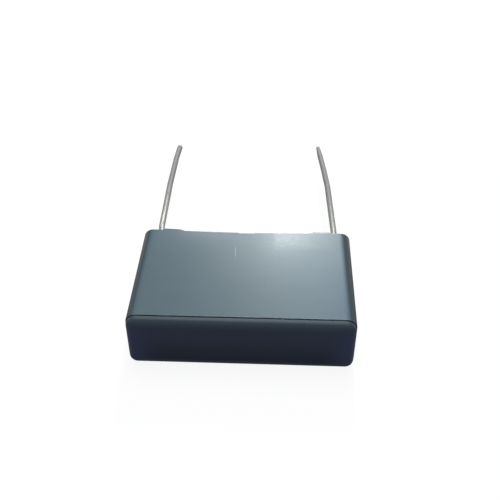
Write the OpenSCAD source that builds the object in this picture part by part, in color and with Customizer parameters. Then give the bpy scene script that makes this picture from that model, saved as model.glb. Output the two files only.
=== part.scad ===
// Box film capacitor: a flattened film winding with sprayed metal ends, two wire leads
// soldered to them, and a moulded case filled with resin. It lies on one of its wide walls:
// X runs along the case, Y from its closed end to the open end that the leads leave by,
// and Z is its thickness. The origin is the middle of the wide wall that it lies on.

/* [Case] */
// Distance between the two leads where they leave the case
lead_pitch = 22.5; // [15:0.5:27.5]
// From a lead's axis to the outside of the nearest narrow wall
end_margin = 1.75; // [1.7:0.05:3]
// Height of the case, from its closed end to its rim
case_height = 16.5; // [12:0.5:22]
// Thickness of the case, across its two wide walls
case_thick = 7; // [5.5:0.5:12]
// Thickness of the two wide walls
wide_wall = 0.75; // [0.5:0.05:0.9]
// Thickness of the two narrow walls
narrow_wall = 0.9; // [0.6:0.05:1]
// Thickness of the closed end
end_wall = 0.9; // [0.6:0.05:1.2]
// Rounding of the four long outer edges
edge_r = 1.2; // [0.6:0.05:1.3]
// Rounding of the edges and corners of the closed end
cap_edge_r = 1.0; // [0.6:0.05:1.5]
// Rounding of the corners inside the case
inner_r = 0.4; // [0.2:0.05:0.6]
// How far the closed end is set in from the rest, where the two halves of the mould part
lip_step = 0.08; // [0.04:0.01:0.2]
// Distance of that step from the closed end
lip_height = 1.0; // [0.8:0.05:3]
// How deep the wide walls have sunk in at the middle of the rim
sink_depth = 0.22; // [0.1:0.02:0.34]
// How far the sunk area reaches from the rim towards the closed end
sink_run = 12; // [8:0.5:14]
// Flat strip left between the sunk area and the rounded edge, at the rim
sink_margin = 0.3; // [0.1:0.1:3]
// Least distance of the sunk area from the mould's parting line
sink_clear = 1; // [0.5:0.1:3]

/* [Feet and vents] */
// Height of the feet that hold the rim off a circuit board
foot_height = 0.4; // [0.2:0.05:0.8]
// Length of a foot's flat end
foot_flat = 1.3; // [0.6:0.1:2.5]
// Length of a foot's steep flank, on the side of the narrow wall
foot_steep = 0.4; // [0.1:0.05:0.8]
// Length of a foot's gentle flank, on the side of the middle
foot_gentle = 1.3; // [0.2:0.1:2]
// From the case's narrow side to the nearest foot
foot_margin = 2.1; // [1.5:0.1:4]
// How far a foot is set back from the outside of its wall
foot_setback = 0.12; // [0.05:0.01:0.3]
// Width of the vent notch in the middle of each wide wall's rim
notch_width = 2; // [1:0.1:4]
// Depth of the vent notch
notch_depth = 0.13; // [0.05:0.01:0.4]

/* [Resin] */
// How far the resin's surface lies below the rim
resin_drop = 0.5; // [0.2:0.05:1.2]
// Height that the resin climbs up each lead
climb_height = 0.3; // [0.1:0.05:0.5]
// Width of the climbing resin around a lead, at its foot
climb_width = 0.4; // [0.1:0.05:0.4]

/* [Winding] */
// Resin between the winding and the wide walls
winding_gap = 0.35; // [0.3:0.05:0.8]
// Resin between the winding and the closed end
floor_gap = 0.6; // [0.3:0.1:1.5]
// Resin above the winding, up to the resin's surface
cover_gap = 1.2; // [0.8:0.1:3]
// Thickness of the metal sprayed on each end of the winding
spray_thick = 0.6; // [0.3:0.05:1]
// How far the sprayed metal stays inside the winding's outline
spray_inset = 0.1; // [0.05:0.05:0.4]

/* [Leads] */
// Diameter of the lead wire
lead_d = 0.8; // [0.6:0.05:0.9]
// How deep the wire is pressed into the sprayed metal
press_depth = 0.1; // [0.05:0.05:0.2]
// Angle at which the wire leans inwards, from the sprayed metal to the rim
lead_lean = 1.2; // [0.8:0.1:1.5]
// Length of the solder that holds the wire to the sprayed metal
joint_length = 4.4; // [2:0.2:6]
// Solder over the back of the wire
solder_cover = 0.1; // [0.05:0.01:0.15]
// Straight run of each lead past the rim, for the holes in a board
board_leg = 1.5; // [1:0.1:3]
// Radius of the small bend that sets a lead straight at the rim
rim_bend = 1.6; // [1:0.2:3]
// Left lead past the board: its straight runs, to the tip
left_runs = [2.8, 9.6, 6.2, 2.6]; // [1:0.1:12]
// Left lead: radii of the bends before each of those runs
left_bends = [4, 5, 30, 20]; // [3:1:40]
// Left lead: turns at those bends, in degrees outwards
left_turns = [7.7, -7, -1.6, -2.6]; // [-10:0.1:10]
// Right lead past the board: its straight runs, to the tip
right_runs = [2.6, 10, 3.4, 6.1]; // [1:0.1:12]
// Right lead: radii of the bends before each of those runs
right_bends = [4, 6, 25, 30]; // [3:1:40]
// Right lead: turns at those bends, in degrees outwards
right_turns = [3, -5, -2.9, -1.1]; // [-10:0.1:10]
// Diameter of the right lead's tip, where it was nipped off
right_tip_d = 0.54; // [0.4:0.02:0.7]
// Length over which the right lead narrows to that tip
right_nip = 2.2; // [0.6:0.1:3]
// Blunt chamfer at the cut tips
tip_chamfer = 0.08; // [0.02:0.02:0.16]

/* [Hidden] */
$fn = 48;
// Overshoot of a cutting tool, and the narrowest strip left between two features
over = 1;
least_land = 0.03;

// Case outside, inside, and the levels along Y
case_length = lead_pitch + 2 * end_margin;
closed_y = -case_height / 2;
rim_y = case_height / 2;
floor_y = closed_y + end_wall;
cavity_length = case_length - 2 * narrow_wall;
cavity_thick = case_thick - 2 * wide_wall;
cap_r = min(cap_edge_r, lip_height - least_land);
resin_y = rim_y - resin_drop;

// Round tool that cuts a sunk wall: widest and deepest at the rim, run out at sink_reach
sink_half = case_length / 2 - edge_r - sink_margin;
sink_r = (pow(sink_half, 2) + pow(sink_depth, 2)) / (2 * sink_depth);
sink_reach = min(sink_run, case_height - lip_height - sink_clear);
sink_tilt = atan(sink_depth / sink_reach);

// Winding: a pressed roll with round edges, between the case's floor and the resin's surface
winding_thick = cavity_thick - 2 * winding_gap;
winding_low = floor_y + floor_gap;
winding_height = resin_y - cover_gap - winding_low;
weld_y = winding_low + winding_height / 2;

// Lead: its place at the rim and at the solder, and the sprayed metal that it is pressed into
lead_x = lead_pitch / 2;
weld_x = lead_x + (rim_y - weld_y) * tan(lead_lean);
spray_x = weld_x - lead_d / 2 + press_depth;
winding_length = 2 * (spray_x - spray_thick);
climb_r = min(lead_d / 2 + climb_width, end_margin - narrow_wall - least_land);
climb_top_r = lead_d / 2 + (climb_r - lead_d / 2) / 5;

// Solder and the wire's end inside the case
solder_r = lead_d - press_depth + solder_cover;
solder_taper = 0.3;
wire_start = weld_y - joint_length / 2 + solder_taper;
leaning_leg = (rim_y - wire_start - rim_bend * sin(lead_lean)) / cos(lead_lean);
start_x = lead_x + leaning_leg * sin(lead_lean) + rim_bend * (1 - cos(lead_lean));
bend_slack = 0.002;
bend_lap = 0.05;

// Legs of a lead: [length, turn after it, radius of that bend], from the solder to the tip, and
// last [length, radius of the tip, length over which it narrows to that, 0 for a straight one].
// Inside the case both leads are alike, and past the board each has been bent by handling.
function lead_legs(runs, turns, bends, tip_r, nip) =
    concat([[leaning_leg, lead_lean, rim_bend], [board_leg, turns[0], bends[0]]],
           [for (i = [1 : len(runs) - 1]) [runs[i - 1], turns[i], bends[i]]],
           [[runs[len(runs) - 1], tip_r, nip]]);
right_reach = min(right_nip, right_runs[len(right_runs) - 1] - least_land);
left_legs = lead_legs(left_runs, left_turns, left_bends, lead_d / 2, 0);
right_legs = lead_legs(right_runs, right_turns, right_bends, min(right_tip_d, lead_d) / 2, right_reach);

// Lays what is drawn around the middle of the case on its wide wall
module lay() {
    translate([0, 0, case_thick / 2]) children();
}

// Turns a drawing in X and Z into a bar along Y, from y0 to y1
module bar(y0, y1) {
    translate([0, y1, 0]) rotate([90, 0, 0]) linear_extrude(y1 - y0) children();
}

module rounded_rectangle(length, thick, r) {
    square([length - 2 * r, thick], center = true);
    square([length, thick - 2 * r], center = true);
    for (x = [-1, 1], z = [-1, 1])
        translate([x * (length / 2 - r), z * (thick / 2 - r)]) circle(r);
}

// A block along Y whose edges round the end at y0 are as round as its long edges
module round_ended_block(length, thick, r, y0, y1) {
    bar(y0 + r, y1) rounded_rectangle(length, thick, r);
    bar(y0, y0 + r) square([length - 2 * r, thick - 2 * r], center = true);
    for (x = [-1, 1], z = [-1, 1])
        translate([x * (length / 2 - r), y0 + r, z * (thick / 2 - r)]) sphere(r);
    for (z = [-1, 1])
        translate([0, y0 + r, z * (thick / 2 - r)])
            rotate([0, 90, 0]) cylinder(r = r, h = length - 2 * r, center = true);
    for (x = [-1, 1])
        translate([x * (length / 2 - r), y0 + r, 0])
            cylinder(r = r, h = thick - 2 * r, center = true);
}

// The tools that cut both sunk walls, grown by the thickness of what they leave
module sink_tools(grow) {
    for (side = [0, 1])
        mirror([0, 0, side])
            translate([0, rim_y, case_thick / 2 - sink_depth])
                rotate([-sink_tilt, 0, 0])
                    translate([0, 0, sink_r])
                        rotate([90, 0, 0])
                            cylinder(r = sink_r + grow, h = 3 * case_height, center = true, $fn = 1440);
}

module case_outside() {
    round_ended_block(case_length - 2 * lip_step, case_thick - 2 * lip_step, cap_r,
                      closed_y, closed_y + lip_height);
    bar(closed_y + lip_height, rim_y) rounded_rectangle(case_length, case_thick, edge_r);
}

// The space inside the case, from its floor up to the level top_y
module cavity(top_y) {
    difference() {
        round_ended_block(cavity_length, cavity_thick, inner_r, floor_y, top_y);
        sink_tools(wide_wall);
    }
}

// One foot on the upper wide wall, on the side of +X, flush with the inside of its wall
module foot() {
    outer = case_length / 2 - foot_margin;
    flat = outer - foot_steep;
    inner = flat - foot_flat;
    inside = case_thick / 2 - wide_wall - sink_depth;
    difference() {
        translate([0, 0, inside])
            linear_extrude(case_thick / 2 - foot_setback - inside)
                polygon([[outer, rim_y - over], [outer, rim_y], [flat, rim_y + foot_height],
                         [inner, rim_y + foot_height], [inner - foot_gentle, rim_y],
                         [inner - foot_gentle, rim_y - over]]);
        sink_tools(foot_setback);
    }
}

module case() {
    color([0.36, 0.41, 0.44]) lay() difference() {
        union() {
            case_outside();
            for (x = [0, 1], z = [0, 1]) mirror([x, 0, 0]) mirror([0, 0, z]) foot();
        }
        cavity(rim_y + over);
        sink_tools(0);
        translate([-notch_width / 2, rim_y - notch_depth, -case_thick])
            cube([notch_width, notch_depth + over, 2 * case_thick]);
    }
}

module winding_outline(inset) {
    r = winding_thick / 2 - inset;
    reach = winding_height / 2 - winding_thick / 2;
    square([2 * reach, 2 * r], center = true);
    for (end = [-1, 1]) translate([end * reach, 0]) circle(r);
}

// Turns the winding's outline into a slab across X, from x0 to x1
module slab(x0, x1) {
    translate([x0, weld_y, 0]) rotate([90, 0, 90]) linear_extrude(x1 - x0) children();
}

module winding_body() {
    slab(-winding_length / 2, winding_length / 2) winding_outline(0);
}

module spray_body() {
    slab(winding_length / 2, spray_x) winding_outline(spray_inset);
}

// Solder on the sprayed metal: a half-round bead along the wire, with tapered ends
module solder_body() {
    intersection() {
        translate([spray_x, weld_y - joint_length / 2, 0]) rotate([-90, 0, 0])
            rotate_extrude()
                polygon([[0, 0], [solder_r - solder_taper, 0], [solder_r, solder_taper],
                         [solder_r, joint_length - solder_taper],
                         [solder_r - solder_taper, joint_length], [0, joint_length]]);
        translate([spray_x, -case_height, -case_thick]) cube([end_margin, 2 * case_height, 2 * case_thick]);
    }
}

// A bend of the wire towards +X, or towards -X where turn is below 0. It is a hair slimmer
// than the straight runs and laps a little way into both, so that all three fuse cleanly.
module wire_bend(turn, r) {
    lap = bend_lap / r * 180 / PI;
    mirror([turn < 0 ? 1 : 0, 0, 0])
        translate([r, 0, 0])
            rotate([0, 0, 180 - abs(turn) - lap])
                rotate_extrude(angle = abs(turn) + 2 * lap)
                    translate([r, 0]) circle(lead_d / 2 - bend_slack);
}

// The last straight run, which may narrow to its cut end, with a blunt chamfer
module wire_tip(run, tip_r, nip) {
    rotate([-90, 0, 0]) rotate_extrude()
        polygon(concat([[0, 0], [lead_d / 2, 0]], nip > 0 ? [[lead_d / 2, run - nip]] : [],
                       [[tip_r, run], [tip_r - tip_chamfer, run + tip_chamfer], [0, run + tip_chamfer]]));
}

// The wire from leg number i on: each leg is a straight run and the bend that follows it
module wire(legs, i) {
    run = legs[i][0];
    if (i == len(legs) - 1) {
        wire_tip(run, legs[i][1], legs[i][2]);
    } else {
        turn = legs[i][1];
        r = legs[i][2];
        rotate([-90, 0, 0]) cylinder(d = lead_d, h = run);
        translate([0, run, 0]) wire_bend(turn, r);
        translate([sign(turn) * r * (1 - cos(turn)), run + r * sin(abs(turn)), 0])
            rotate([0, 0, -turn]) wire(legs, i + 1);
    }
}

module lead_body(legs) {
    translate([start_x, wire_start, 0]) rotate([0, 0, lead_lean]) wire(legs, 0);
}

// Resin drawn up round a lead
module climb() {
    translate([lead_x, resin_y, 0]) rotate([-90, 0, 0])
        cylinder(r1 = climb_r, r2 = climb_top_r, h = climb_height);
}

module potting() {
    color([0.2, 0.22, 0.24]) lay() difference() {
        union() {
            cavity(resin_y);
            for (side = [0, 1]) mirror([side, 0, 0]) climb();
        }
        winding_body();
        mirror([1, 0, 0]) lead_body(left_legs);
        lead_body(right_legs);
        for (side = [0, 1]) mirror([side, 0, 0]) {
            spray_body();
            solder_body();
        }
    }
}

module winding() {
    color([0.78, 0.77, 0.72]) lay() winding_body();
}

module end_spray(side, legs) {
    color([0.6, 0.6, 0.6]) lay() mirror([side, 0, 0]) difference() {
        spray_body();
        lead_body(legs);
    }
}

module lead(side, legs) {
    color([0.62, 0.62, 0.6]) lay() mirror([side, 0, 0]) lead_body(legs);
}

module solder_joint(side, legs) {
    color([0.7, 0.7, 0.7]) lay() mirror([side, 0, 0]) difference() {
        solder_body();
        lead_body(legs);
    }
}

case();
potting();
winding();
end_spray(1, left_legs);  // end_spray_left
end_spray(0, right_legs);  // end_spray_right
lead(1, left_legs);  // lead_left
lead(0, right_legs);  // lead_right
solder_joint(1, left_legs);  // solder_joint_left
solder_joint(0, right_legs);  // solder_joint_right
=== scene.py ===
from math import cos, hypot, pi, radians, sin

import bmesh
import bpy
import numpy as np
from mathutils import Matrix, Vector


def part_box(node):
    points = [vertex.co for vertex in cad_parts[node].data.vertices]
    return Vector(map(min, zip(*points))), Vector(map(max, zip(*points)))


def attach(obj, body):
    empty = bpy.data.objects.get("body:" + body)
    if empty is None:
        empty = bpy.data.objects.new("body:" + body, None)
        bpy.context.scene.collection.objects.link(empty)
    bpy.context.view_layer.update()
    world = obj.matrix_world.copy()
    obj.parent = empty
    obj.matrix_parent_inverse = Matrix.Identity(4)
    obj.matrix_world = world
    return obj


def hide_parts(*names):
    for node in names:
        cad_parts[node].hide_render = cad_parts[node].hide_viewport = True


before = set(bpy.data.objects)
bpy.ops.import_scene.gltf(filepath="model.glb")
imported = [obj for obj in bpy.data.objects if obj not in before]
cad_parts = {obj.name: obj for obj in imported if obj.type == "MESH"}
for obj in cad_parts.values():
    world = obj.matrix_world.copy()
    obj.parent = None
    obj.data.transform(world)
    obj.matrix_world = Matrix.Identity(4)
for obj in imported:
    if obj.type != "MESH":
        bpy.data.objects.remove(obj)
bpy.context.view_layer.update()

# ---------------------------------------------------------------------------------------
# Moulded case: one box of glass-filled polyester, open at the end that the leads leave by.
# It is injection moulded, with a fine parting line round it near the closed end, and its
# wide walls have sunk in towards the rim. Four feet on the rim hold it off the board.
mm = 0.001
case_low, case_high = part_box("case")
half_length = (case_high.x - case_low.x) / 2
half_thick = (case_high.z - case_low.z) / 2
foot_height = 0.4 * mm
closed_y, rim_y = case_low.y, case_high.y - foot_height
# Walls, and the rounds of the outer edges and of the cavity's
wide_wall, narrow_wall, end_wall = 0.75 * mm, 0.9 * mm, 0.9 * mm
edge_r, inner_r = 1.2 * mm, 0.4 * mm
# Cavity: its floor, and its half sizes up to where its round corners begin
floor_y = closed_y + end_wall
cavity_x, cavity_z = half_length - narrow_wall - inner_r, half_thick - wide_wall - inner_r
# Closed end: rounds along the wide walls, along the narrow ones and at the corners, and how
# far the mould's draft has narrowed the case there, on each side
cap_long_r, cap_short_r, cap_corner_r, draft = 0.85 * mm, 0.7 * mm, 0.5 * mm, 0.094 * mm
# Parting line: its place, how far the closed end is set in there, the groove just before it
# and the round of the lip just past it
lip_y, lip_step = closed_y + 1.0 * mm, 0.08 * mm
line_depth, line_width, lip_round = 0.03 * mm, 0.05 * mm, 0.05 * mm
# Sunk area of the wide walls: the last is how softly it meets the flat strips at its sides
sink_depth, sink_run, sink_margin, sink_power, sink_ease = 0.22 * mm, 12 * mm, 0.3 * mm, 2.4, 0.002
# Feet, in X from the middle, and the shares of the way through the wall that their face spans
foot_outer, foot_inner, foot_steep, foot_gentle = 10.8 * mm, 7.5 * mm, 0.4 * mm, 1.0 * mm
foot_base, foot_top = 0.14, 0.17
notch_half, notch_depth = 1.0 * mm, 0.13 * mm
# Widths over which the corners of the feet and notches are rounded, seen from a wide side
foot_ease, notch_ease = 0.2 * mm, 0.08 * mm
# Rim: fall of its rounds, and the shares of the way through the wall that they reach
rim_fall, rim_outer, rim_inner = 0.05 * mm, 0.05, 0.04


def steps(*stops):
    """Levels in a row: for each (end, count) after the start, that many even steps to it."""
    runs = [np.array([stops[0]], float)]
    for end, count in stops[1:]:
        runs.append(np.linspace(runs[-1][-1], end, count + 1)[1:])
    return np.concatenate(runs)


def round_loop(along_wide, along_narrow, corner_steps):
    """Columns of a rounded rectangle, once round it. Each has a corner's or a side's place and
    a direction: along a side the place moves, round a corner the direction turns."""
    parts = []
    turn = np.linspace(0, 1, corner_steps + 1)
    for quarter, (sx, sz) in enumerate([(1, 1), (-1, 1), (-1, -1), (1, -1)]):
        side = (along_narrow if quarter % 2 == 0 else along_wide) * (1 if quarter in (0, 3) else -1)
        if quarter % 2 == 0:
            parts.append((0 * side + sx, 0 * side, 0 * side, side, 0 * side + quarter))
        else:
            parts.append((0 * side, side, 0 * side + sz, 0 * side, 0 * side + quarter))
        parts.append((0 * turn + sx, 0 * turn, 0 * turn + sz, 0 * turn, quarter + turn))
    at_x, x, at_z, z, quarter = (np.concatenate(values) for values in zip(*parts))
    return at_x, x, at_z, z, quarter * pi / 2


def pushed_out(loop, core_x, core_z, push):
    """The loop's columns around a plain rectangle of those half sizes, each pushed out along
    its direction. core_x, core_z and push have one value for each row of the surface."""
    at_x, x, at_z, z, direction = loop
    core_x, core_z, push = (np.asarray(v, float)[:, None] for v in (core_x, core_z, push))
    return at_x * core_x + x + push * np.cos(direction), at_z * core_z + z + push * np.sin(direction)


def flat_grid(core_x, core_z, along_wide, along_narrow):
    """X and Z of a flat grid on the side columns' own places, out to the rectangle's corners."""
    return np.meshgrid(np.concatenate([[-core_x], along_wide, [core_x]]),
                       np.concatenate([[-core_z], along_narrow, [core_z]]))


def sunk(x, y):
    """Depth of the sunk wall: along Y a power of the way from its start to the rim, and across
    X one less the square of the way from the middle, with its edge eased by a root of squares."""
    sink_half = half_length - edge_r - sink_margin
    along = np.clip(1 - (rim_y - y) / sink_run, 0, 1) ** sink_power
    across = 1 - (x / sink_half) ** 2
    return sink_depth * along * (across + np.sqrt(across**2 + sink_ease)) / 2


def eased(shape, x, width):
    """The mean of a profile over a short width about x, which rounds its corners."""
    return np.mean([shape(x + width * k) for k in np.linspace(-0.5, 0.5, 7)], axis=0)


def foot_rise(x):
    """Height of the foot over the rim: a ramp up from each end, cut off at the foot's height."""
    ramp = np.minimum((foot_outer - abs(x)) / foot_steep, (abs(x) - foot_inner) / foot_gentle)
    return foot_height * np.clip(ramp, 0, 1)


def notch_drop(x):
    """Depth of the vent notch under the rim: a plain step at each of its sides."""
    return notch_depth * (abs(x) < notch_half)


def rim_top(x, share):
    """Height over the rim's level at a share of the way through the wall: the foot, up an even
    slope that forms its face, less the vent notch."""
    face = np.clip((share - foot_base) / (foot_top - foot_base), 0, 1)
    return eased(foot_rise, x, foot_ease) * face - eased(notch_drop, x, notch_ease)


def outside(loop):
    """Up the outside, in rows that each have a level, a plain rectangle's set-in along X and Z,
    and the radius round it. The closed end's edge is a quarter circle from its flat to each
    wall, and its corners' radius grows from its own to the case's by a square. A groove and a
    quarter circle form the parting line, and the wall goes up straight from there."""
    def set_in(above, r):
        """How far a round of radius r is set in from its wall, at a height above the end."""
        return r - np.sqrt(r**2 - np.clip(r - above, 0, r) ** 2)

    def rows(*values):
        """Those four values for each row, where a single one goes for all."""
        return np.stack(np.broadcast_arrays(*values))

    flat = steps(0, (cap_corner_r, 4))[:-1]
    arc = cap_long_r * (1 - np.cos(steps(0, (pi / 2, 14))))
    above = np.concatenate([0 * flat, arc])
    corner = np.concatenate([flat, edge_r + (cap_corner_r - edge_r) * (1 - arc / cap_long_r) ** 2])
    core = lip_step + np.concatenate([cap_corner_r - flat, 0 * arc]) + corner
    lip_turn = steps(0, (pi / 2, 4))
    top_band = rim_y - 0.3 * mm
    levels = steps(lip_y + 0.1 * mm, (lip_y + 0.3 * mm, 2), (top_band, 30), (rim_y - 0.08 * mm, 2))
    y, in_x, in_z, corner = np.concatenate([
        rows(closed_y + above, core + set_in(above, cap_short_r), core + set_in(above, cap_long_r), corner),
        rows(lip_y - line_width * np.array([1, 0.6, 0.3]), lip_step + edge_r, lip_step + edge_r,
             edge_r - line_depth * np.array([0, 0.7, 1])),
        rows(lip_y + lip_round * (1 - np.cos(lip_turn)), edge_r, edge_r,
             edge_r - lip_round * (1 - np.sin(lip_turn))),
        rows(levels, edge_r, edge_r, edge_r)], axis=1)
    x, z = pushed_out(loop, half_length - in_x, half_thick - in_z, corner)
    y = y[:, None] + 0 * x
    return x, np.where(y > top_band, y - eased(notch_drop, x, notch_ease), y), z


def over_rim(loop):
    """Over the rim, evenly from the outer loop to the cavity's. Near each edge the rim falls by
    the square of the nearness, which rounds it."""
    share = steps(0, (0.01, 1), (rim_outer, 2), (foot_base, 3), (foot_top, 4), (0.9, 8), (1 - rim_inner, 2),
                  (0.99, 1), (1, 1))[:, None]
    x_out, z_out = pushed_out(loop, [half_length - edge_r], [half_thick - edge_r], [edge_r])
    x_in, z_in = pushed_out(loop, [cavity_x], [cavity_z], [inner_r])
    x, z = x_out + (x_in - x_out) * share, z_out + (z_in - z_out) * share
    nearness = np.clip(1 - share / rim_outer, 0, 1) ** 2 + np.clip(1 - (1 - share) / rim_inner, 0, 1) ** 2
    return x, rim_y + rim_top(x, share) - rim_fall * nearness, z


def down_to_floor(levels):
    """Levels down a wall of the cavity and on round the edge of its floor by a quarter circle,
    and the radius round the plain rectangle at each."""
    turn = steps(0, (pi / 2, 5))[1:]
    return (np.concatenate([levels, floor_y + inner_r * (1 - np.sin(turn))]),
            np.concatenate([0 * levels + inner_r, inner_r * np.cos(turn)]))


def inside(loop):
    """Down the cavity's walls to its floor. The feet and notches fade out evenly below the rim."""
    y, corner = down_to_floor(steps(rim_y - 0.1 * mm, (rim_y - 1.1 * mm, 8), (floor_y + inner_r, 10)))
    x, z = pushed_out(loop, 0 * y + cavity_x, 0 * y + cavity_z, corner)
    near_rim = np.clip(1 - (rim_y - y[:, None]) / (0.5 * mm), 0, 1)
    return x, y[:, None] + rim_top(x[0], 1) * near_rim, z


def closed_shell(name, grids):
    """One closed mesh from grids of points (rows, columns, 3): each grid's neighbours make
    four-sided faces, the grids' shared edges are merged, and all faces are turned outwards."""
    points, faces, first = [], [], 0
    for grid, joined in grids:
        rows, columns = grid.shape[:2]
        number = first + np.arange(rows * columns).reshape(rows, columns)
        ahead = np.roll(number, -1, axis=1) if joined else number[:, 1:]
        behind = number if joined else number[:, :-1]
        faces.append(np.stack([behind[:-1], ahead[:-1], ahead[1:], behind[1:]], axis=-1).reshape(-1, 4))
        points.append(grid.reshape(-1, 3))
        first += rows * columns
    mesh = bpy.data.meshes.new(name)
    mesh.from_pydata(np.concatenate(points), [], np.concatenate(faces).tolist())
    work = bmesh.new()
    work.from_mesh(mesh)
    bmesh.ops.remove_doubles(work, verts=work.verts, dist=0.0005 * mm)
    bmesh.ops.recalc_face_normals(work, faces=work.faces)
    work.to_mesh(mesh)
    work.free()
    mesh.shade_smooth()
    mesh.set_sharp_from_angle(angle=radians(40))
    piece = bpy.data.objects.new(name, mesh)
    bpy.context.scene.collection.objects.link(piece)
    return piece


def drafted(x, y, z):
    """Points of the case, narrowed evenly along X from nothing at the rim to the mould's draft
    at the closed end."""
    narrowing = draft / half_length * (rim_y - y) / (rim_y - closed_y)
    return np.stack([x * (1 - narrowing), y, z + half_thick], axis=-1)


def case_shell():
    """Rounded rectangles carried from the closed end along the outside, over the rim and down
    the inside to the floor, with a flat grid over each end. The wide sides are sunk in full,
    and round their edges by the sine of the direction."""
    near_corners = np.concatenate([sign * (corner + 0.06 * mm * np.arange(-2, 3)) for sign in (-1, 1)
                                   for corner in (notch_half, foot_inner, foot_inner + foot_gentle,
                                                  foot_outer - foot_steep, foot_outer)])
    along_wide = np.concatenate([steps(-11.5 * mm, (11.5 * mm, 92)), near_corners])
    along_wide = np.unique(np.round(along_wide, 8))
    along_narrow = steps(-1.6 * mm, (1.6 * mm, 10))
    loop = round_loop(along_wide, along_narrow, 12)
    x, y, z = (np.concatenate(parts) for parts in zip(outside(loop), over_rim(loop), inside(loop)))
    z -= np.sign(z) * sunk(x, y) * abs(np.sin(loop[-1]))

    def end_plate(y, core_x, core_z):
        """A flat end at that level, beyond the sunk area."""
        x, z = flat_grid(core_x, core_z, along_wide, along_narrow)
        return drafted(x, 0 * x + y, z)

    in_corner = lip_step + cap_corner_r
    closed_end = end_plate(closed_y, half_length - in_corner - cap_short_r,
                           half_thick - in_corner - cap_long_r)
    cavity_floor = end_plate(floor_y, cavity_x, cavity_z)
    return closed_shell("moulded_case",
                        [(drafted(x, y, z), True), (closed_end, False), (cavity_floor, False)])


class Field:
    """A value, colour or vector that varies over a surface: a shader socket, on which sums,
    products and comparisons add their Math nodes."""

    def __init__(self, socket):
        self.socket = socket

    def node(self, kind, settings=None, sockets=None, out=0):
        """Any other node, by its type: its settings first, then its sockets' values or links."""
        tree = self.socket.id_data
        made = tree.nodes.new("ShaderNode" + kind)
        for name, value in (settings or {}).items():
            setattr(made, name, value)
        for name, value in (sockets or {}).items():
            if isinstance(value, Field):
                tree.links.new(value.socket, made.inputs[name])
            else:
                made.inputs[name].default_value = value
        return Field(made.outputs[out])

    def maths(self, operation, *values):
        """One Math node, on numbers or fields."""
        return self.node("Math", {"operation": operation}, dict(enumerate(values)))

    def __add__(self, other):
        return self.maths("ADD", self, other)

    def __sub__(self, other):
        return self.maths("SUBTRACT", self, other)

    def __rsub__(self, other):
        return self.maths("SUBTRACT", other, self)

    def __mul__(self, other):
        return self.maths("MULTIPLY", self, other)

    def __truediv__(self, other):
        return self.maths("DIVIDE", self, other)

    def __gt__(self, other):
        return self.maths("GREATER_THAN", self, other)

    def __abs__(self):
        return self.maths("ABSOLUTE", self)

    __radd__, __rmul__ = __add__, __mul__

    def axis(self, k):
        """One number of a vector: 0, 1 or 2 for X, Y or Z."""
        return self.node("SeparateXYZ", None, {0: self}, k)

    def ramp(self, low, high):
        """0 below low, 1 above high, and an eased rise between them."""
        return self.node("MapRange", {"interpolation_type": "SMOOTHSTEP"},
                         {"Value": self, "From Min": low, "From Max": high})

    def mix(self, base, other):
        """The colour base where this is 0 and other where it is 1."""
        return self.node("Mix", {"data_type": "RGBA"}, {0: self, 6: base, 7: other}, 2)

    def noise(self, size, detail=2.0, stretch=(1, 1, 1), roughness=0.5):
        """Soft noise of that feature size in metres on this place, stretched along the axes."""
        scale = [1 / (size * k) for k in stretch]
        place = self.node("VectorMath", {"operation": "MULTIPLY"}, {0: self, 1: scale})
        return place.node("TexNoise", None,
                          {"Vector": place, "Scale": 1.0, "Detail": detail, "Roughness": roughness})

    def bump(self, height):
        """The normal of a relief that is this field times height in metres."""
        return self.node("Bump", None, {"Strength": 1.0, "Distance": height, "Height": self})


def written(red, green, blue):
    """A colour given as it looks on a screen, 0 to 255, as the linear one that shaders take: a
    power of 2.4, and a straight line for the darkest."""
    return tuple(((v / 255 + 0.055) / 1.055) ** 2.4 if v > 10 else v / 255 / 12.92
                 for v in (red, green, blue)) + (1.0,)


def finish_of(name, values):
    """A material: values takes the place on the surface, and gives a Principled shader's
    sockets by their names, as fields or as plain numbers."""
    made = bpy.data.materials.new(name)
    made.use_nodes = True
    tree = made.node_tree
    shader = tree.nodes["Principled BSDF"]
    place = Field(shader.outputs["BSDF"]).node("TexCoord", out="Object")
    for socket, value in values(place).items():
        if isinstance(value, Field):
            tree.links.new(value.socket, shader.inputs[socket])
        else:
            shader.inputs[socket].default_value = value
    return made


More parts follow.
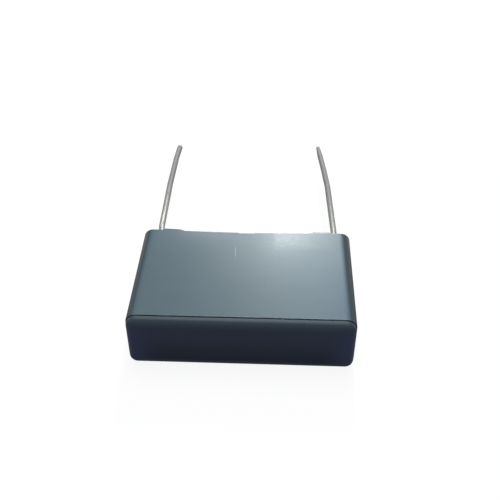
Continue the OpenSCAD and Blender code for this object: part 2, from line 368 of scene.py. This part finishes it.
def case_plastic(place):
    """Slate grey polyester, satin, with a fine spark-eroded mould texture. Its wide faces are painted
    paler, its sides and closed end darker: painted light and shade on one plastic. Shade is painted
    in the parting line, and a highlight on the lip next to it, which is glossier."""
    x, y, z = (place.axis(k) for k in range(3))
    off_middle = abs(z - half_thick)
    mottle = place.noise(6 * mm, 3)
    fine = place.noise(0.5 * mm, 3)
    grain = place.noise(0.11 * mm, 2)

    # Where the wide faces, the closed end, the shade painted in the parting line and the highlight painted
    # on the lip just past it are
    wide_face = (off_middle.ramp(half_thick - 0.6 * mm, half_thick - 0.45 * mm)
                 * (1 - abs(x).ramp(half_length - 1.1 * mm, half_length - 0.7 * mm)))
    on_end = 1 - (y - lip_y).ramp(-0.1 * mm, 0)
    in_line = 1 - abs(y - (lip_y - line_width / 2)).ramp(0.03 * mm, 0.09 * mm)
    # A dark line painted along the parting line's groove: painted shade, fainter towards the left end
    groove_shade = in_line * (0.6 + 0.4 * mottle) * (0.25 + 0.75 * x.ramp(-12.2 * mm, -10.6 * mm))
    # A paler band painted on the lip just past the parting line: a painted highlight, where the lip is also
    # a little glossier
    lip_highlight = (y > lip_y) * (1 - (y - lip_y).ramp(0.05 * mm, 0.2 * mm)) * fine.ramp(0.3, 0.6)
    handled = place.noise(2.2 * mm, 4, (2.2, 1, 1), 0.6).ramp(0.5, 0.75) * wide_face

    def scratch(x0, y0, x1, y1, width):
        """A stroke on the upper wide face: 1 near the line from one point to the other, in mm."""
        length = hypot(x1 - x0, y1 - y0)
        ux, uy = (x1 - x0) / length, (y1 - y0) / length
        from_x, from_y = x - x0 * mm, y - y0 * mm
        along = (from_x * ux + from_y * uy) / (length * mm)
        across = abs(from_x * uy - from_y * ux)
        between = along.ramp(-0.1, 0.25) * (1 - along.ramp(0.6, 1.1))
        return (1 - across.ramp(0, width * mm)) * between

    def patch(x_in, x_full, x_fade, x_out, y_in, y_full):
        """A patch of that face where the glare lies, which reaches the rim: 1 where it is full, in mm."""
        across = x.ramp(x_in * mm, x_full * mm) * (1 - x.ramp(x_fade * mm, x_out * mm))
        return across * y.ramp(y_in * mm, y_full * mm)

    # Marks of the upper wide face: three scratches, and patches near the rim where the glare lies, with a
    # glossy coat and painted paler as a painted highlight
    scratches = (z > half_thick) * (scratch(-1.27, 5.5, -1.14, 2.8, 0.12) * 0.5
                                    + scratch(5.1, 6.2, 7.9, 5.9, 0.08) * 0.3
                                    + scratch(6.2, 5.1, 8.4, 4.9, 0.07) * 0.2)
    # Glare patches: a glossy coat, and paler paint that is a painted highlight
    glare_patch = (z > half_thick) * (patch(3.2, 3.9, 4.6, 12, 4.2, 7.4) * 0.6
                                 + patch(0.5, 4, 4, 9, 1.5, 6) * 0.4
                                 + patch(-9.5, -7, -4.5, -1, 5.5, 8.2) * 0.3)
    glare_patch = glare_patch * (0.1 + 1.8 * place.noise(0.3 * mm, 4, (2, 1, 1)))
    scratches_and_glare = scratches * fine.ramp(0.25, 0.55) * 0.6 + glare_patch * 0.15

    # Colours of the closed end, the sides and the wide faces: one plastic in lit and shaded copies, paler on
    # the wide faces as painted light and darker on the sides and closed end as painted shade; and then what
    # lies on them
    # Closed end: painted shade, darkest towards the bottom near the floor, bluer towards the narrow sides
    # and lighter on its rounds next to the wide walls
    end = z.ramp(0, 5.5 * mm).mix(written(44, 50, 63), written(64, 74, 95))
    end = abs(x).ramp(9 * mm, 12.6 * mm).mix(end, written(68, 78, 108))
    end = off_middle.ramp(half_thick - 1.2 * mm, half_thick - 0.8 * mm).mix(end, written(67, 82, 93))
    # Sides: painted shade, darker than the wide faces
    side = mottle.mix(written(54, 66, 72), written(58, 71, 77))
    # Wide faces: painted light, paler than the rest, and bluer towards the lower right
    skin = mottle.mix(written(83, 102, 112), written(89, 109, 118))
    bluish = x.ramp(1 * mm, 12 * mm) * (1 - y.ramp(3 * mm, 7 * mm))
    skin = bluish.mix(skin, written(91, 112, 127))
    colour = (wide_face * (1 - on_end)).mix(on_end.mix(side, end), skin)
    # Scratches painted pale, and the glare patches painted pale as a painted highlight
    colour = (scratches_and_glare * 0.8).mix(colour, written(188, 196, 195))
    # Painted highlight on the lip
    colour = (lip_highlight * 0.25).mix(colour, written(150, 162, 168))
    # The feet above the rim, painted darker: painted shade, where they miss the glare
    colour = (y.ramp(rim_y + 0.02 * mm, rim_y + 0.12 * mm) * 0.7).mix(colour, written(58, 66, 70))
    # Painted shade in the parting line's groove
    colour = (groove_shade * 0.8).mix(colour, written(22, 26, 32))
    return {"Base Color": colour,
            "Roughness": 0.335 + 0.05 * fine - 0.03 * handled - 0.05 * lip_highlight,
            "Specular IOR Level": 0.25,
            "Coat Weight": glare_patch * 0.42,
            "Coat Roughness": 0.42,
            "Normal": (grain * 0.5 + fine * 0.8 + mottle * 3.0).bump(0.004 * mm)}


case = case_shell()
case.data.materials.append(finish_of("case_plastic", case_plastic))
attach(case, "root")
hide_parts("case")

# ---------------------------------------------------------------------------------------
# Potting resin: black epoxy, cast round the winding and left to cure with the open end up.
# Its glossy surface lies a little below the rim, and it has crept up the walls and the leads.
resin_y = rim_y - 0.5 * mm
wall_creep, wall_reach = 0.1 * mm, 0.16 * mm
lead_creep, lead_reach = 0.28 * mm, 0.4 * mm
wave_height, wave_x, wave_z, wave_slant = 0.015 * mm, 2.9 * mm, 1.7 * mm, 4.1 * mm
lead_x, lead_r = 11.25 * mm, 0.4 * mm


def resin_level(x, z, to_wall):
    """The cured surface: level, with a faint wave, rising by a falling exponential of the
    distance to a wall, and by the square of the nearness to each lead."""
    nearness = 1 - np.clip((np.hypot(abs(x) - lead_x, z) - lead_r) / lead_reach, 0, 1)
    wave = wave_height * np.sin(x / wave_x + 1) * np.cos(z / wave_z + x / wave_slant)
    return resin_y + wall_creep * np.exp(-to_wall / wall_reach) + lead_creep * nearness**2 + wave


def resin_body():
    """A grid over the open end, a round loop of columns down each wall, and a grid below. All
    of it takes on the walls' sunk shape, in proportion to the height above the middle."""
    near_lead = steps(lead_x - 0.9 * mm, (cavity_x - 0.02 * mm, 34))
    along_wide = np.concatenate([-near_lead[::-1], steps(-10.2 * mm, (10.2 * mm, 100)), near_lead])
    along_narrow = steps(0.05 * mm - cavity_z, (-0.95 * mm, 12), (0.95 * mm, 46), (cavity_z - 0.05 * mm, 12))
    loop = round_loop(along_wide, along_narrow, 8)

    def placed(x, y, z):
        """Those points, drawn in towards the middle where the walls have sunk."""
        return np.stack([x, y, z - z / (cavity_z + inner_r) * sunk(x, y) + half_thick], axis=-1)

    # The surface's edge, out to the walls, and the walls down to the floor
    out = steps(0, (inner_r, 10))
    x_edge, z_edge = pushed_out(loop, 0 * out + cavity_x, 0 * out + cavity_z, out)
    y_edge = resin_level(x_edge, z_edge, (inner_r - out)[:, None])
    y, corner = down_to_floor(steps(resin_y - 0.55 * mm, (2 * mm, 4), (floor_y + inner_r, 6)))
    x_wall, z_wall = pushed_out(loop, 0 * y + cavity_x, 0 * y + cavity_z, corner)
    y_wall = y[:, None] + 0 * x_wall
    walls = placed(np.concatenate([x_edge, x_wall]), np.concatenate([y_edge, y_wall]),
                   np.concatenate([z_edge, z_wall]))

    x, z = flat_grid(cavity_x, cavity_z, along_wide, along_narrow)
    to_wall = np.minimum(cavity_x - abs(x), cavity_z - abs(z)) + inner_r
    surface, below = placed(x, resin_level(x, z, to_wall), z), placed(x, 0 * x + floor_y, z)
    return closed_shell("potting_resin", [(walls, True), (surface, False), (below, False)])


def epoxy(place):
    """Black epoxy that cured in the open: glossy, with a faint flow pattern, settled dust and
    a few pin holes where air came out."""
    flow = place.noise(3 * mm, 3, (2, 1, 1))
    dust = place.noise(0.35 * mm, 4, roughness=0.7).ramp(0.55, 0.7)
    pit = 1 - place.node("TexVoronoi", None, {"Vector": place, "Scale": 1 / (1.1 * mm)}).ramp(0.05, 0.12)
    colour = flow.mix(written(22, 24, 27), written(34, 36, 39))
    return {"Base Color": (dust * 0.35).mix(colour, written(90, 90, 88)),
            "Roughness": 0.22 + 0.12 * flow + 0.25 * dust,
            "Specular IOR Level": 0.5,
            "Normal": (flow - pit * 0.6 + dust * 0.1).bump(0.05 * mm)}


resin = resin_body()
resin.data.materials.append(finish_of("epoxy", epoxy))
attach(resin, "root")
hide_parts("potting")

# ---------------------------------------------------------------------------------------
# Leads: two lengths of tinned steel-cored wire, soldered to the winding's ends inside and
# held by the resin. Past the rim they have been bent a little by handling, and their tips
# are cut off blunt.
tip_chamfer = 0.08 * mm
nip_length, nip_r = 2.2 * mm, 0.27 * mm
# Inside the case a wire leans inwards, in degrees, and a bend sets it straight at the rim
lead_lean, rim_bend, wire_start_y = 1.2, 1.6 * mm, -2.0 * mm
inner_leg = (rim_y - wire_start_y - rim_bend * sin(radians(lead_lean))) / cos(radians(lead_lean))
wire_start_x = lead_x + inner_leg * sin(radians(lead_lean)) + rim_bend * (1 - cos(radians(lead_lean)))
# Legs of each lead: length, turn after it in degrees outwards, and radius of that bend, in mm
inner_legs = [(inner_leg / mm, lead_lean, rim_bend / mm)]
left_legs = inner_legs + [(1.5, 7.7, 4), (2.8, -7, 5), (9.6, -1.6, 30), (6.2, -2.6, 20), (2.6, 0, 0)]
right_legs = inner_legs + [(1.5, 3, 4), (2.6, -5, 6), (10, -2.9, 25), (3.4, -1.1, 30), (6.1, 0, 0)]


def route(legs):
    """The wire's middle line in X and Y. Its heading stays along a leg and turns evenly round
    the bend after it, and the line is the running sum of that heading."""
    knots, headings = [0.0], [radians(-lead_lean)]
    for length, turn, r in legs:
        knots.append(knots[-1] + length * mm)
        headings.append(headings[-1])
        if turn:
            knots.append(knots[-1] + abs(radians(turn)) * r * mm)
            headings.append(headings[-1] + radians(turn))
    rings, finer = int(round(knots[-1] / (0.16 * mm))), 8
    along = np.linspace(0, knots[-1], rings * finer + 1)
    heading = np.interp(along, knots, headings)
    middle = (heading[1:] + heading[:-1]) / 2
    gap = np.diff(along)
    x = wire_start_x + np.concatenate([[0], np.cumsum(np.sin(middle) * gap)])
    y = wire_start_y + np.concatenate([[0], np.cumsum(np.cos(middle) * gap)])
    return along[::finer], x[::finer], y[::finer], heading[::finer]


def lead_wire(name, side, legs, tip_r):
    """Circles carried along the route, square to its heading, which narrow evenly to the tip's
    radius over the nipped length. Rings that shrink to the middle close each end."""
    along, x, y, heading = route(legs)
    around = np.linspace(0, 2 * pi, 32, endpoint=False)
    dent = 1 - 0.006 * np.sin(along / (1.9 * mm)) ** 8
    r = dent * np.interp(along, [along[-1] - nip_length, along[-1]], [lead_r, tip_r])
    r = np.concatenate([[0, 0.5 * lead_r], r, [tip_r - tip_chamfer, 0.5 * tip_r, 0]])[:, None]
    ahead = np.concatenate([[0, 0], 0 * along, [tip_chamfer] * 3])[:, None]
    x, y, heading = (np.concatenate([[v[0]] * 2, v, [v[-1]] * 3])[:, None] for v in (x, y, heading))
    across = r * np.cos(around)
    px = x + across * np.cos(heading) + ahead * np.sin(heading)
    py = y - across * np.sin(heading) + ahead * np.cos(heading)
    pz = half_thick + r * np.sin(around) + 0 * heading
    return closed_shell(name, [(np.stack([side * px, py, pz], axis=-1), True)])


def tinned_wire(place):
    """Tin over steel, with lines drawn along it: still bright near the case, dull and grey with
    oxide towards the tips, and with a little brown flux near the resin."""
    x, y = place.axis(0), place.axis(1)
    drawn = place.noise(0.07 * mm, 2, (1, 60, 1))
    cloud = place.noise(1.3 * mm, 4, (1, 2.5, 1), 0.6)
    nick = place.noise(0.25 * mm, 3, (1, 1.5, 1), 0.6).ramp(0.62, 0.72)
    flux = 1 - y.ramp(rim_y - 0.4 * mm, rim_y + 1.3 * mm)
    dull = (y + x * 0.15 + (cloud - 0.5) * (4 * mm)).ramp(11 * mm, 24 * mm)
    tin = cloud.mix(written(156, 155, 149), written(173, 172, 166))
    colour = dull.mix(tin, cloud.mix(written(144, 141, 139), written(155, 152, 150)))
    colour = (nick * 0.35).mix(colour, written(112, 110, 107))
    colour = (flux * cloud * 0.4).mix(colour, written(118, 100, 78))
    return {"Base Color": colour,
            "Metallic": 0.9 - 0.7 * dull - 0.2 * nick - 0.2 * flux,
            "Roughness": 0.44 + 0.15 * dull + 0.1 * cloud + 0.1 * drawn,
            "Normal": (drawn * 0.5 + cloud * 1.5 - nick * 0.5).bump(0.012 * mm)}


wire_finish = finish_of("tinned_wire", tinned_wire)
for hand, side, legs, tip_r in (("left", -1, left_legs, lead_r), ("right", 1, right_legs, nip_r)):
    wire = lead_wire("lead_wire_" + hand, side, legs, tip_r)
    wire.data.materials.append(wire_finish)
    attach(wire, "root")
    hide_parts("lead_" + hand)

# ---------------------------------------------------------------------------------------
# Solder joints: a bead of tin solder along each lead, which holds it to the sprayed metal.
# They lie inside the resin, so they keep their plain solids under this finish.


def refinish(prefix, finish):
    """Gives a finish to the solids whose names start so, in place of their plain one."""
    for name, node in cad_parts.items():
        if name.startswith(prefix):
            node.data.materials.clear()
            node.data.materials.append(finish)


def solder_bead(place):
    """Bright tin solder, wavy from its flow, with a grey frosted skin in places."""
    frost = place.noise(0.5 * mm, 3)
    return {"Base Color": frost.mix(written(200, 200, 198), written(160, 161, 162)),
            "Metallic": 1.0,
            "Roughness": 0.2 + 0.3 * frost,
            "Normal": (frost + place.noise(1.4 * mm) * 2).bump(0.03 * mm)}


refinish("solder_joint", finish_of("solder_bead", solder_bead))

# ---------------------------------------------------------------------------------------
# Sprayed ends: zinc, sprayed hot onto each face of the winding, where it joins the edges of
# all the film's layers. Each lead is pressed into it a little and soldered on.


def sprayed_zinc(place):
    """Grainy matt grey metal, a crust of frozen droplets."""
    drops = place.node("TexVoronoi", None, {"Vector": place, "Scale": 1 / (0.16 * mm)})
    crust = place.noise(0.4 * mm, 4, roughness=0.65)
    return {"Base Color": crust.mix(written(128, 130, 132), written(168, 170, 172)),
            "Metallic": 0.8,
            "Roughness": 0.55 + 0.2 * crust,
            "Normal": (crust * 1.5 - drops).bump(0.05 * mm)}


refinish("end_spray", finish_of("sprayed_zinc", sprayed_zinc))

# ---------------------------------------------------------------------------------------
# Winding: two long plastic films with a metal layer a few atoms deep, wound up together and
# pressed flat, with a clear wrap outside. The resin holds it clear of the case.


def wound_film(place):
    """Silvery film under a clear outer wrap, with the fine lines of its turns along it."""
    turns = place.noise(0.03 * mm, 2, (200, 1, 1))
    crease = place.noise(2.5 * mm, 3, (4, 1, 1))
    return {"Base Color": crease.mix(written(186, 186, 180), written(214, 213, 206)),
            "Metallic": 0.6 + 0.2 * crease,
            "Roughness": 0.25 + 0.2 * turns,
            "Coat Weight": 0.4 + 0.2 * crease,
            "Normal": (turns * 0.4 + crease * 2).bump(0.03 * mm)}


refinish("winding", finish_of("wound_film", wound_film))

# ---------------------------------------------------------------------------------------
# Floor: a plain pale sheet that the part lies on, far larger than the part. It keeps the
# part's shadow, and the camera sees it as white.
floor_half, floor_z = 2.0, -0.01 * mm


def seen_rays(start):
    """Two fields on the nodes that start belongs to: 1 for rays from the camera, from a gloss or
    through glass, which show what is behind the part, and 1 for the glossy ones alone."""
    camera_ray, glossy_ray, clear_ray = (start.node("LightPath", out=name) for name in (
        "Is Camera Ray", "Is Glossy Ray", "Is Transmission Ray"))
    shown = camera_ray.maths("MAXIMUM", camera_ray, clear_ray)
    return shown.maths("MAXIMUM", shown, glossy_ray), glossy_ray


sheet = bpy.data.meshes.new("floor")
corners = [(x * floor_half, y * floor_half, floor_z) for x, y in ((-1, -1), (1, -1), (1, 1), (-1, 1))]
sheet.from_pydata(corners, [], [(0, 1, 2, 3)])
floor = bpy.data.objects.new("floor", sheet)
bpy.context.scene.collection.objects.link(floor)
paper = bpy.data.materials.new("pale_paper")
paper.use_nodes = True
start = Field(paper.node_tree.nodes["Principled BSDF"].outputs["BSDF"])
seen, reflected = seen_rays(start)
# White to the camera. To a gloss it is grey, and pale only from some way behind the case.
behind = start.node("TexCoord", out="Object").axis(1).ramp(12 * mm, 30 * mm)
glow = start.node("Emission", None, {
    "Color": (1, 1, 1, 1), "Strength": 0.9 * (seen - reflected) + reflected * (0.2 + 0.6 * behind)})
matt = start.node("BsdfDiffuse", None, {"Color": (0.15, 0.15, 0.15, 1)})
both = start.node("AddShader", None, {0: matt, 1: glow})
paper.node_tree.links.new(both.socket, paper.node_tree.nodes["Material Output"].inputs["Surface"])
sheet.materials.append(paper)

# ---------------------------------------------------------------------------------------
# Studio: a tall narrow soft box behind the part, a broad one overhead, and a dim cool room
# that is brighter in front. A pale wall behind shows only in glosses.


def soft_box(name, azimuth, elevation, distance, width, height, level, colour):
    """A rectangle of light that looks at the part's middle, from a direction and a distance.
    level is the light that it gives a face turned to it: 1 shows a colour as written."""
    lamp = bpy.data.lights.new(name, "AREA")
    lamp.shape, lamp.size, lamp.size_y = "RECTANGLE", width, height
    lamp.energy = level * pi * pi * distance**2
    lamp.color = colour
    holder = bpy.data.objects.new(name, lamp)
    a, e = radians(azimuth), radians(elevation)
    way = Matrix(((cos(a), sin(a) * sin(e), sin(a) * cos(e)),
                  (-sin(a), cos(a) * sin(e), cos(a) * cos(e)),
                  (0, -cos(e), sin(e)))).to_4x4()
    holder.matrix_world = Matrix.Translation(distance * way.col[2].to_3d()) @ way
    holder.visible_camera = False
    bpy.context.scene.collection.objects.link(holder)


soft_box("window", 3.1, 26, 0.5, 0.03, 0.27, 0.64, (0.9, 1, 1))
soft_box("overhead", -5, 73, 0.6, 0.4, 0.4, 0.5, (1, 1, 1))

world = bpy.data.worlds.new("room")
world.use_nodes = True
room = world.node_tree.nodes["Background"]
start = Field(room.outputs["Background"])
seen, reflected = seen_rays(start)
heading = start.node("TexCoord", out="Generated")
back_wall = heading.axis(1).ramp(-0.1, 0.5) * (1 - heading.axis(2).ramp(0.35, 0.6))
front = (0 - heading.axis(1)).ramp(0.3, 0.9)
tint = seen.mix((0.85, 0.88, 1, 1), (1, 1, 1, 1))
# What diffuse rays meet, what the camera meets, which is white, and what a gloss shows
strength = ((1 - seen) * (0.15 + 0.43 * front) + (seen - reflected)
            + reflected * (0.27 + 0.55 * back_wall))
world.node_tree.links.new(tint.socket, room.inputs["Color"])
world.node_tree.links.new(strength.socket, room.inputs["Strength"])
bpy.context.scene.world = world

# ---------------------------------------------------------------------------------------
# Camera: looks down on the part from in front, a little to the right, through a lens a bit
# longer than a normal one.
lens = bpy.data.cameras.new("camera")
lens.lens, lens.sensor_width = 53.521272, 36
lens.clip_start, lens.clip_end = 0.005, 10
camera = bpy.data.objects.new("camera", lens)
camera.location = 3.424 * mm, -65.892 * mm, 64.413 * mm
camera.rotation_euler = radians(50.8321), radians(0.0897), radians(2.2538)
bpy.context.scene.collection.objects.link(camera)
bpy.context.scene.camera = camera
bpy.context.scene.view_settings.view_transform = "Standard"
